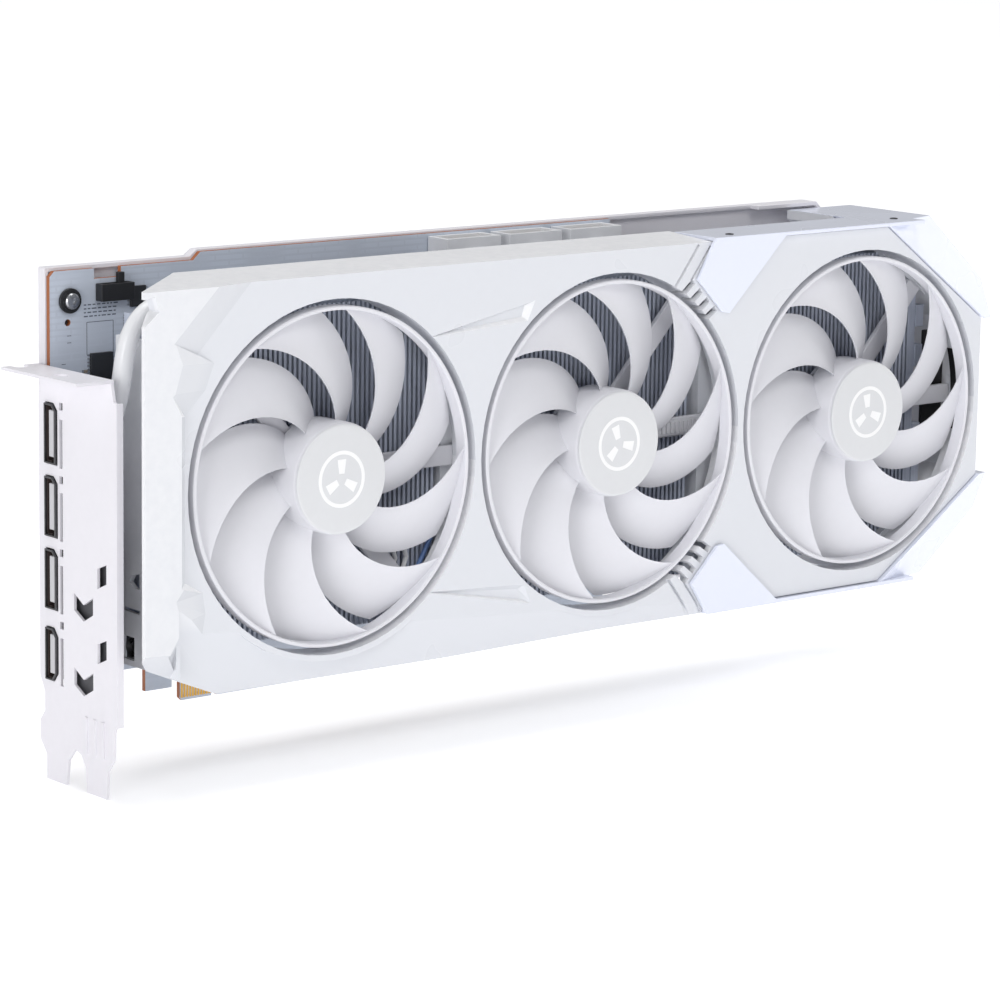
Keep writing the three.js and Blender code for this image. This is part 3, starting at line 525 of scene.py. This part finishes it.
def fin_stack(number):
    """Thin upright fins, each with a folded front lip, on a base plate behind them."""
    node = f"fin_stack_{number}"
    start, end = low(node), high(node)
    axis = fan_centre(number).z
    half = end.z - axis
    shape = Shape()
    count = int((end.x - start.x - FIN_THICK) / FIN_PITCH)
    for i in range(count + 1):
        x = start.x + i * FIN_PITCH
        reach = tail_reach(x, end.x, half) if number == 3 else half
        bottom, top = axis - reach, axis + reach
        shape.box((x, start.y + 0.1 * MM, bottom), (x + FIN_THICK, end.y - 1 * MM, top))
        shape.box((x, start.y, bottom), (x + FIN_LIP, start.y + 0.25 * MM, top))
    base_half = half - 12 * MM
    shape.box((start.x, end.y - 1.2 * MM, axis - base_half), (end.x, end.y, axis + base_half))
    shape.build(f"{node}_look", fin_metal, smooth=False, replaces=(node,))


def tube_look(node, material, swell):
    """A smooth round tube from a faceted CAD one, swollen first by what smoothing takes away."""
    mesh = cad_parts[node].data.copy()
    tidy = bmesh.new()
    tidy.from_mesh(mesh)
    bmesh.ops.remove_doubles(tidy, verts=tidy.verts, dist=SAME_PLACE)
    bmesh.ops.join_triangles(tidy, faces=tidy.faces, angle_face_threshold=0.7,
                             angle_shape_threshold=0.7)
    tidy.normal_update()
    for vertex in tidy.verts:
        vertex.co += vertex.normal * swell
    tidy.to_mesh(mesh)
    tidy.free()
    piece = finished(f"{node}_look", mesh, [material], "card", replaces=(node,))
    rounding = piece.modifiers.new("rounding", "SUBSURF")
    rounding.levels = rounding.render_levels = 2


BENT_SWELL = 0.26 * MM
STRAIGHT_SWELL = 0.1 * MM


def cooler():
    for number in FANS:
        fin_stack(number)
    tube_look("heatpipe_1", pipe_coat, BENT_SWELL)
    for number in range(2, 5):
        tube_look(f"heatpipe_{number}", pipe_coat, STRAIGHT_SWELL)
    dressed("cold_plate", copper)
    dressed("gpu_package", board_mask)
    dressed("gpu_die", silicon)


# ---- Fasteners ----
SHANK_R = 1.3 * MM


def star(radius, depth=0.16):
    """A six-pointed star as a radius for each angle."""
    return lambda angle: radius * (1 - depth + depth * math.cos(6 * angle))


def screw(name, node, facing, head_r, washer_r=0.0):
    """A pan head with a star recess and, where asked for, a washer under it."""
    centre = middle(node)
    start, end = low(node), high(node)
    tip = end.y if facing > 0 else start.y

    def at(depth):
        return tip - facing * depth

    head = [(head_r, at(1.3 * MM)), (head_r, at(0.5 * MM)), (head_r * 0.86, at(0.12 * MM)),
            (head_r * 0.68, at(0)), (star(head_r * 0.52), at(0)), (star(head_r * 0.5), at(0.8 * MM))]
    shape = Shape().skin([circle(centre, r, y, 36) for r, y in head])
    shank_end = start.y if facing > 0 else end.y
    shape.skin([circle(centre, SHANK_R, y, 16) for y in (at(1.2 * MM), shank_end)])
    shape.build(name, steel, replaces=(node,))
    if washer_r:
        front, back = at(1.35 * MM), at(2.2 * MM)
        hole_r = head_r * 0.6
        washer = [(hole_r, front), (washer_r - 0.1 * MM, front), (washer_r, at(1.5 * MM)),
                  (washer_r, back), (hole_r, back)]
        rings = [circle(centre, r, y, 40) for r, y in washer]
        Shape().loop(rings).build(f"{name}_washer", black_plastic)


def fasteners():
    screw("board_screw_look", "board_screw", -1, 2.3 * MM, 3.6 * MM)
    for number in range(1, 5):
        screw(f"retention_screw_{number}_look", f"retention_screw_{number}", 1, 3 * MM)


# ---- Connectors ----
PORTS = ("displayport_1", "displayport_2", "displayport_3", "hdmi_port")
PORT_WALL = 0.55 * MM
PORT_CUT = 1.9 * MM
LINER_THICK = 0.25 * MM


def port_liner(node):
    """The black insulator that lines a display port, behind the rim of its shell."""
    start, end = low(node), high(node)
    inner_low = Vector((start.x + 0.7 * MM, start.y + PORT_WALL, start.z + PORT_WALL))
    inner_high = Vector((end.x - 1.6 * MM, end.y - PORT_WALL, end.z - PORT_WALL))
    shape = Shape()

    def lined(z0, z1, y0, y1):
        shape.box((inner_low.x, y0, z0), (inner_high.x, y1, z1))

    lined(inner_low.z, inner_high.z, inner_high.y - LINER_THICK, inner_high.y)
    lined(inner_low.z + PORT_CUT, inner_high.z - PORT_CUT, inner_low.y, inner_low.y + LINER_THICK)
    lined(inner_low.z, inner_low.z + LINER_THICK, inner_low.y + PORT_CUT, inner_high.y)
    lined(inner_high.z - LINER_THICK, inner_high.z, inner_low.y + PORT_CUT, inner_high.y)
    shape.box((inner_high.x - 0.3 * MM, inner_low.y + PORT_CUT / 2, inner_low.z + PORT_CUT / 2),
              (inner_high.x, inner_high.y, inner_high.z - PORT_CUT / 2))
    shape.build(f"{node}_liner", liner_brown, smooth=False)


def port_tongue(node):
    """The pale front of the insulator that carries the contacts, standing in the mouth."""
    start, end = low(node), high(node)
    centre = (start + end) / 2
    half_tall = (end.z - start.z) / 2 - PORT_CUT
    tongue = Shape().box((start.x + 0.7 * MM, centre.y - 1.2 * MM, centre.z - half_tall),
                         (start.x + 4.8 * MM, centre.y + 1.2 * MM, centre.z + half_tall))
    tongue.build(f"{node}_tongue", tongue_grey, bevel=0.2 * MM)


def port_contacts(node):
    """Gold contacts on the faces of a port's tongue."""
    centre = middle(node)
    count, pitch = 10, 1.05 * MM
    shape = Shape()
    for i in range(count):
        z = centre.z + (i - (count - 1) / 2) * pitch
        for y in (centre.y - 0.46 * MM, centre.y + 0.76 * MM):
            shape.around((low(node).x + 8 * MM, y, z), (2.6 * MM, 0.05 * MM, 0.25 * MM))
    shape.build(f"{node}_contacts", gold, smooth=False)


def power_pins(number):
    """Eight square pins in the cells of a power header."""
    node = f"power_socket_{number}"
    start, end = low(node), high(node)
    latch = 1.6 * MM
    centre_x = (start.x + end.x) / 2
    centre_y = (start.y + latch + end.y) / 2
    shape = Shape()
    for column in (-1.5, -0.5, 0.5, 1.5):
        for row in (-1, 1):
            place = (centre_x + column * 4.6 * MM, centre_y + row * 2 * MM, start.z + 7 * MM)
            shape.around(place, (0.5 * MM, 0.5 * MM, 4.2 * MM))
    shape.build(f"{node}_pins", gold, bevel=0.1 * MM, smooth=False)


def connectors():
    for node in PORTS:
        softened(node, dark_steel, 0.1 * MM)
        port_liner(node)
        port_tongue(node)
        port_contacts(node)
    for number in FANS:
        softened(f"power_socket_{number}", white_plastic, 0.2 * MM)
        power_pins(number)
    softened("bios_switch_body", black_plastic, 0.2 * MM)
    softened("bios_switch_lever", black_plastic, 0.15 * MM, body="bios_switch")


def edge_contacts():
    """Gold fingers on both faces of the edge connector, with a gap at the key notch."""
    bottom = low("circuit_board").z
    left = low("circuit_board").x + 44.9 * MM
    plating = 0.03 * MM
    key = range(12, 15)
    shape = Shape()
    for i in range(85):
        if i in key:
            continue
        x = left + i * MM
        for y in (BOARD_FRONT - plating, BOARD_BACK):
            shape.box((x + 0.15 * MM, y, bottom + 0.9 * MM),
                      (x + 0.85 * MM, y + plating, bottom + 6.4 * MM))
    shape.build("edge_contacts", gold, smooth=False)


# ---- Things seen behind the blades ----
def rod(shape, path, radius, sides=10):
    """Adds a round rod along a short path of places."""
    rings = []
    last = len(path) - 1
    for i, place in enumerate(path):
        ahead = (path[min(i + 1, last)] - path[max(i - 1, 0)]).normalized()
        side = ahead.cross(Vector((0, 1, 0))).normalized()
        other = ahead.cross(side)
        angles = [2 * math.pi * k / sides for k in range(sides)]
        rings.append([place + (side * math.cos(a) + other * math.sin(a)) * radius
                      for a in angles])
    shape.skin(rings)


def fan_leads():
    """Three white wires and a blue sleeve in front of the first fins, under the hub."""
    depth = low("fin_stack_1").y - 0.8 * MM
    centre = fan_centre(1)

    def spot(right, up):
        return Vector((centre.x + right * MM, depth, centre.z + up * MM))

    wires = Shape()
    bends = [(0, 0), (2.6, -1.6), (3.4, -4.4), (2, -8), (4.5, -12)]
    for start in (25, 29.2, 33.4):
        rod(wires, [spot(start + right, up - 25) for right, up in bends], 0.75 * MM)
    wires.build("fan_1_wires", print_white)
    sleeve = Shape()
    rod(sleeve, [spot(47 - 7 * share, -23 - 12 * share) for share in (0, 0.5, 1)], 0.7 * MM)
    sleeve.build("fan_1_sleeve", wire_blue)


def lead_cover():
    """A ribbed cover over the leads, along the middle fan's right-hand strut."""
    end = high("fan_2_frame")
    centre = fan_centre(2)
    front = end.y - 1.6 * MM
    half_tall, rib_half_tall = 2.4 * MM, 1.7 * MM
    rib_pitch, rib_width = 1.8 * MM, 0.9 * MM
    shape = Shape()
    shape.box((centre.x + 18 * MM, front - 0.5 * MM, centre.z - half_tall),
              (end.x - 7 * MM, front - 0.02 * MM, centre.z + half_tall))
    for i in range(14):
        x = centre.x + 20 * MM + rib_pitch * i
        shape.box((x, front - 1 * MM, centre.z - rib_half_tall),
                  (x + rib_width, front - 0.4 * MM, centre.z + rib_half_tall))
    shape.build("lead_cover", wire_white, smooth=False)


def tail_panel():
    """A slotted grey rail and a black panel beyond the last fins."""
    fins_end = high("fin_stack_3").x
    wall = high("shroud").x - 2.8 * MM
    front = low("fin_stack_3").y
    centre = fan_centre(3)
    half_tall, tab_half_tall = 40 * MM, 3.6 * MM
    rail_end = fins_end + 3 * MM
    rail = Shape()
    rail.box((fins_end + 0.4 * MM, front, centre.z - half_tall),
             (rail_end, front + 9 * MM, centre.z + half_tall))
    for step in range(-2, 3):
        z = centre.z + step * 13 * MM
        rail.box((rail_end, front - 0.4 * MM, z - tab_half_tall),
                 (rail_end + 3.4 * MM, front + 4 * MM, z + tab_half_tall))
    rail.build("tail_rail", fin_metal, bevel=0.2 * MM, smooth=False)
    panel = Shape().box((fins_end + 7 * MM, front - 0.6 * MM, centre.z - 19 * MM),
                        (wall, front + 1 * MM, centre.z + 21 * MM))
    panel.build("tail_panel", liner_black, bevel=0.3 * MM)


def vent_screen():
    """A dark screen close behind the bracket's vents."""
    bracket = high("io_bracket").x
    bottom = middle("hdmi_port").z - 12 * MM
    top = middle("displayport_3").z + 11 * MM
    screen = Shape().box((bracket + 0.3 * MM, BOARD_FRONT - 27.7 * MM, bottom),
                         (bracket + 1.1 * MM, BOARD_FRONT - 6.6 * MM, top))
    screen.build("vent_screen", screen_grey, bevel=0.2 * MM)


def dark_coil():
    """A black coil on a dark plate, seen through the square hole in the shroud's side wall."""
    fins = low("fin_stack_1").x
    y, z = BOARD_FRONT - 21.6 * MM, fan_centre(1).z - 47 * MM
    plate_front = -1.3
    plate = Shape().box((fins + plate_front * MM, y - 3.6 * MM, z - 3.7 * MM),
                        (fins - 0.3 * MM, y + 3.6 * MM, z + 3.7 * MM))
    plate.build("coil_plate", liner_black)

    def turn_at(depth, radius):
        angles = [2 * math.pi * i / 32 for i in range(32)]
        return [(fins + depth * MM, y + radius * MM * math.cos(a), z + radius * MM * math.sin(a))
                for a in angles]

    turns = Shape()
    for radius in (1.1, 2.1, 3.0):
        turns.loop([turn_at(plate_front, radius - 0.3), turn_at(-2, radius),
                    turn_at(plate_front, radius + 0.3)])
    turns.build("coil_turns", dark_steel)


def tail_window():
    """A black window in the wall of the last opening, on the side away from the bracket."""
    centre = fan_centre(3)
    outer = high("shroud").x - centre.x - 2.1 * MM
    inner = outer - 0.25 * MM
    front, back = 5.4 * MM, 10.4 * MM
    section = ((inner, front), (outer, front), (outer, back), (inner, back))
    rings = []
    for degrees in range(-13, 18, 2):
        angle = math.radians(degrees)
        rings.append([centre + Vector((r * math.cos(angle), y, r * math.sin(angle)))
                      for r, y in section])
    Shape().skin(rings).build("tail_window", liner_black)


def cover_screws():
    """Two small dark screws in the top edge of the upper corner cover."""
    top = fan_centre(2).z + 59.8 * MM
    head = ((1.3, 0.02), (1.3, 0.22), (1, 0.3), (0.5, 0.3), (0.5, 0.1))
    angles = [2 * math.pi * i / 24 for i in range(24)]
    shape = Shape()
    for right, back in ((48.9, 3.2), (123.6, 6.4)):
        x, y = fan_centre(2).x + right * MM, FACE_Y + back * MM
        shape.skin([[(x + r * MM * math.cos(a), y + r * MM * math.sin(a), top + up * MM)
                     for a in angles] for r, up in head])
    shape.build("cover_screws", dark_steel)


def inner_details():
    tail_window()
    cover_screws()
    vent_screen()
    dark_coil()
    fan_leads()
    lead_cover()
    tail_panel()


# ---- Small parts on the board ----
def board_place(right, down):
    """A place on the board's front, millimetres right of its left edge and below its top edge."""
    left, top = low("circuit_board").x, high("circuit_board").z
    return Vector((left + right * MM, BOARD_FRONT, top - down * MM))


def chip(name, place, size, pins):
    """A flat chip with metal legs on its two upright sides. Size is width, height and depth in
    millimetres."""
    width, tall, thick = size
    middle_y = BOARD_FRONT - thick * MM / 2
    body = Shape().around((place.x, middle_y, place.z),
                          (width * MM / 2, thick * MM / 2, tall * MM / 2))
    body.build(name, chip_black, bevel=0.15 * MM)
    legs = Shape()
    for i in range(pins):
        z = place.z + (i - (pins - 1) / 2) * tall * MM / pins
        for side in (-1, 1):
            legs.around((place.x + side * (width / 2 + 0.4) * MM, BOARD_FRONT - 0.2 * MM, z),
                        (0.45 * MM, 0.12 * MM, 0.16 * MM))
    legs.build(f"{name}_legs", steel, smooth=False)


def small_parts():
    """Rows of chip resistors and capacitors with metal ends, in the board's open corner."""
    rng = random.Random(7)
    left_empty = 0.45
    bodies, ends = Shape(), Shape()
    for column in range(6):
        for row in range(15):
            if rng.random() < left_empty:
                continue
            place = board_place(12 + column * 2.9 + rng.uniform(-0.3, 0.3), 27 + row * 2.3)
            size = rng.choice((0.5, 0.6, 0.8))
            bodies.around(place + Vector((0, -0.25 * MM, 0)), (size * MM, 0.25 * MM, size * 0.5 * MM))
            for side in (-1, 1):
                ends.around(place + Vector((side * size * MM, -0.26 * MM, 0)),
                            (0.15 * MM, 0.27 * MM, size * 0.52 * MM))
    bodies.build("chip_parts", ceramic, bevel=0.05 * MM)
    ends.build("chip_part_ends", steel, smooth=False)


def silk_lines():
    """Printed frames and rows of short dashes, without any lettering."""
    rng = random.Random(3)
    half_thick = 0.015 * MM
    line = 0.18
    shape = Shape()

    def dash(right, down, width, tall):
        shape.around(board_place(right, down) + Vector((0, -half_thick, 0)),
                     (width * MM / 2, half_thick, tall * MM / 2))

    for row in range(4):
        right = 11.5
        while right < 22.5:
            width = rng.uniform(0.6, 1.6)
            dash(right + width / 2, 12.6 + row * 1.1, width, 0.35)
            right += width + 0.5
    frame_wide, frame_tall = 9, 9.4
    for edge in (0, 1):
        dash(17, 17.6 + edge * frame_tall, frame_wide, line)
        dash(12.5 + edge * frame_wide, 22.3, line, frame_tall)
    for right, down in ((4.6, 29), (6.5, 21)):
        dash(right, down, 1.4, line)
        dash(right, down + 2, 1.4, line)
    shape.build("silk_lines", silk_ink, smooth=False)


def coil(name, place, size):
    """A moulded power inductor: a chamfered block of the given width in millimetres."""
    half = size * MM / 2
    block = Shape()
    sections = [(half * 0.9, 0.2), (half, 0.5), (half, 3.4), (half * 0.88, 4)]
    block.skin([[(place.x + sx * h, BOARD_FRONT - y * MM, place.z + sz * h)
                 for sx, sz in ((-1, -1), (1, -1), (1, 1), (-1, 1))] for h, y in sections])
    block.build(name, chip_black, bevel=0.3 * MM)


def board_parts():
    chip("controller", board_place(17.1, 30.6), (7.4, 8.2, 1.2), 8)
    chip("driver_1", board_place(29.7, 11.2), (5.2, 6, 1), 5)
    chip("driver_2", board_place(27.3, 17.6), (3, 3, 0.9), 4)
    small_parts()
    silk_lines()
    for i in range(5):
        coil(f"coil_{i + 1}", board_place(140 + 12.5 * i, 40), 9)
    for number in range(1, 9):
        softened(f"memory_chip_{number}", chip_black, 0.15 * MM)


# ---- Stage ----
def floor():
    """A pale ground that glows a little, more so far away, to run into a white distance."""
    surface = Surface("floor", paint(250, 250, 251), 0.6, Emission_Color=(1, 1, 1, 1))
    surface.tinted(surface.ranged(surface.noise(3), 0, 1), paint(247, 247, 249))
    away = surface.add("ShaderNodeVectorMath", {0: surface.place}, operation="LENGTH")
    near, far = 0.4, 3.0
    glow = surface.add("ShaderNodeMapRange", {
        "Value": away.outputs["Value"], "From Min": near, "From Max": far, "To Min": 0.42,
        "To Max": 0.7})
    surface.tree.links.new(glow.outputs[0], surface.shader.inputs["Emission Strength"])
    lowest = cad_bounds[0][2]
    half = 40.0
    corners = [(-half, -half, 0), (half, -half, 0), (half, half, 0), (-half, half, 0)]
    mesh = bpy.data.meshes.new("floor")
    mesh.from_pydata(corners, [], [(0, 1, 2, 3)])
    mesh.materials.append(surface.material)
    ground = bpy.data.objects.new("floor", mesh)
    ground.location = (fan_centre(2).x, fan_centre(2).y, lowest)
    bpy.context.collection.objects.link(ground)


def world_light():
    world = bpy.data.worlds.new("studio")
    world.use_nodes = True
    background = world.node_tree.nodes["Background"]
    background.inputs["Color"].default_value = (0.97, 0.98, 1.0, 1)
    background.inputs["Strength"].default_value = 0.3
    bpy.context.scene.world = world


def lamp(name, offset, size, watts, color=(1, 1, 1)):
    """A square soft light aimed at the card, at an offset in metres from the middle fan."""
    data = bpy.data.lights.new(name, "AREA")
    data.energy = watts
    data.size = size
    data.color = color
    light = bpy.data.objects.new(name, data)
    light.location = fan_centre(2) + Vector(offset)
    light.rotation_mode = "QUATERNION"
    light.rotation_quaternion = (-Vector(offset)).to_track_quat("-Z", "Y")
    bpy.context.collection.objects.link(light)


def lights():
    world_light()
    lamp("key", (-0.5, -1.5, 1.4), 0.8, 9)
    lamp("fill", (-1.9, -0.75, 0.4), 0.8, 10, (0.98, 0.98, 1))
    lamp("side", (1.9, -0.5, 0.5), 1.0, 6)
    lamp("top", (0.1, 0.3, 2.0), 1.4, 22)


CAMERA = {
    "yaw": math.radians(39.804), "pitch": math.radians(10.472), "roll": math.radians(0.852),
    "distance": 1203.7 * MM, "right": 34.22 * MM, "up": 17.4 * MM, "lens": 143.3,
}


def camera():
    """Stands to the left of the card, a little above it, and looks past the middle fan."""
    yaw, pitch, roll = CAMERA["yaw"], CAMERA["pitch"], CAMERA["roll"]
    ahead = Vector((math.sin(yaw) * math.cos(pitch), math.cos(yaw) * math.cos(pitch),
                    -math.sin(pitch)))
    level = Vector((math.cos(yaw), -math.sin(yaw), 0))
    upright = level.cross(ahead)
    right = level * math.cos(roll) + upright * math.sin(roll)
    up = upright * math.cos(roll) - level * math.sin(roll)
    data = bpy.data.cameras.new("camera")
    data.lens = CAMERA["lens"]
    data.sensor_width = 36
    data.clip_start = 0.05
    data.clip_end = 200
    eye = bpy.data.objects.new("camera", data)
    turn = Matrix((right, up, -ahead)).transposed()
    place = fan_centre(2) - ahead * CAMERA["distance"]
    place -= right * CAMERA["right"] + up * CAMERA["up"]
    eye.matrix_world = Matrix.Translation(place) @ turn.to_4x4()
    bpy.context.collection.objects.link(eye)
    bpy.context.scene.camera = eye


covers()
fan_motors()
cooler()
fasteners()
connectors()
edge_contacts()
board_parts()
inner_details()
floor()
lights()
camera()
bpy.context.scene.view_settings.view_transform = "Standard"
